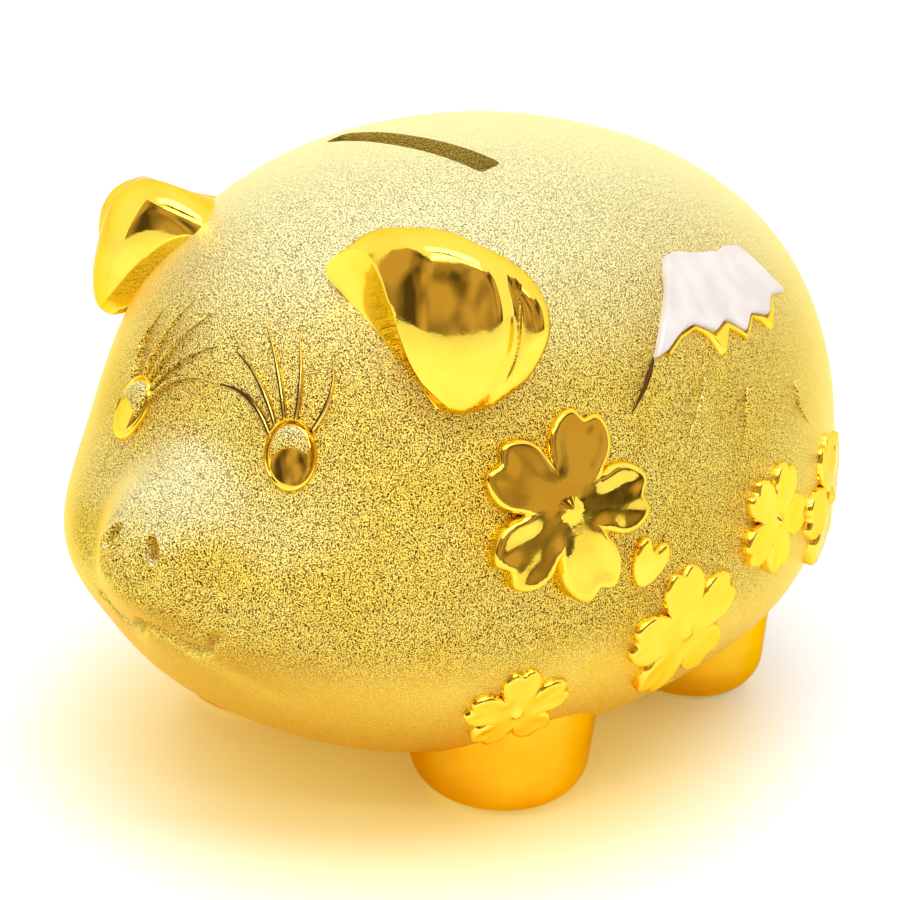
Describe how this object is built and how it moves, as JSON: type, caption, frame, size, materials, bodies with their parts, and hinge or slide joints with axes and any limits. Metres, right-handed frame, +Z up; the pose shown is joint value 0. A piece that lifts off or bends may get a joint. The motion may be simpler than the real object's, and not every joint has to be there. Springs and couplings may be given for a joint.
{
  "type": "piggy bank",
  "caption": "Hollow pig-shaped coin bank with a coin slot across its back, stubby feet, applied flower and mountain relief, and a pull-out stopper underneath.",
  "frame": {"origin": "on the floor, under the middle of the bank's bounding box", "axes": "+Z is up, the face looks along -Y, the pig's left side is +X"},
  "size_m": [0.1212, 0.1665, 0.1102],
  "materials": {
    "frosted_gold": "satin",
    "bright_gold": "polished",
    "white_glaze": "gloss",
    "grey_rubber": "matte"
  },
  "bodies": {
    "bank": {"blossom_chest_left": "bright_gold", "blossom_chest_right": "bright_gold", "blossom_large_left": "bright_gold", "blossom_large_right": "bright_gold", "blossom_low_left": "bright_gold", "blossom_low_right": "bright_gold", "blossom_rear_left": "bright_gold", "blossom_rear_right": "bright_gold", "blossom_side_left": "bright_gold", "blossom_side_right": "bright_gold", "body_shell": "frosted_gold", "ear_left": "bright_gold", "ear_right": "bright_gold", "eye_left": "bright_gold", "eye_right": "bright_gold", "foot_front_left": "bright_gold", "foot_front_right": "bright_gold", "foot_rear_left": "bright_gold", "foot_rear_right": "bright_gold", "mountain_rock_left": "bright_gold", "mountain_rock_right": "bright_gold", "mountain_slope_left": "bright_gold", "mountain_slope_right": "bright_gold", "petal_left": "bright_gold", "petal_right": "bright_gold", "ridge_1_left": "bright_gold", "ridge_1_right": "bright_gold", "ridge_2_left": "bright_gold", "ridge_2_right": "bright_gold", "ridge_3_left": "bright_gold", "ridge_3_right": "bright_gold", "snow_cap_left": "white_glaze", "snow_cap_right": "white_glaze", "tail": "bright_gold"},
    "stopper": {"stopper": "grey_rubber"}
  },
  "joints": [
    {"name": "stopper_pull", "type": "slide", "parent": "bank", "child": "stopper", "axis": [0, 0, -1], "range_m": [0, 0.025]}
  ]
}
